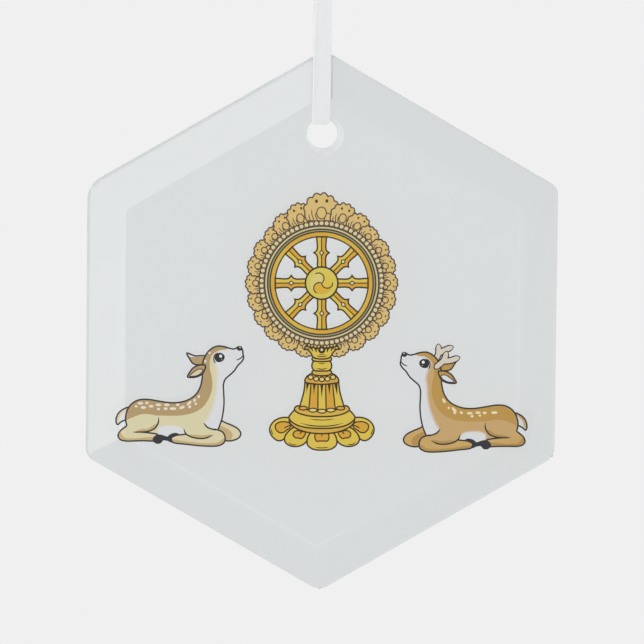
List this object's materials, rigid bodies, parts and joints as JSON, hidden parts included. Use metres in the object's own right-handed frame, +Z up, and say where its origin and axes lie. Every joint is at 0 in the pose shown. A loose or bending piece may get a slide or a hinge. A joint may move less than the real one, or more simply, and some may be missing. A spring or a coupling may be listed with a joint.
{
  "type": "hexagonal glass hanging ornament",
  "caption": "Flat hexagonal ornament of bevelled clear glass, printed with a dharma wheel and deer, hung by a knotted satin ribbon through a drilled hole.",
  "frame": {"origin": "top of the ribbon's loop, just under its knot, where a hook bears", "axes": "+Z up along the ribbon, through the glass's top and bottom corners; -Y out of the bevelled, printed front; +X to the right as seen from the front"},
  "size_m": [0.078, 0.0068, 0.1434],
  "materials": {
    "clear_glass": "clear, ground and polished bevel",
    "white_satin": "satin weave",
    "printed_ink": "thin film of gold, tan and brown printing ink, as colour only"
  },
  "bodies": {
    "root": {"glass_plate": "clear_glass", "hanging_ribbon": "white_satin", "ribbon_knot": "white_satin"}
  },
  "joints": []
}
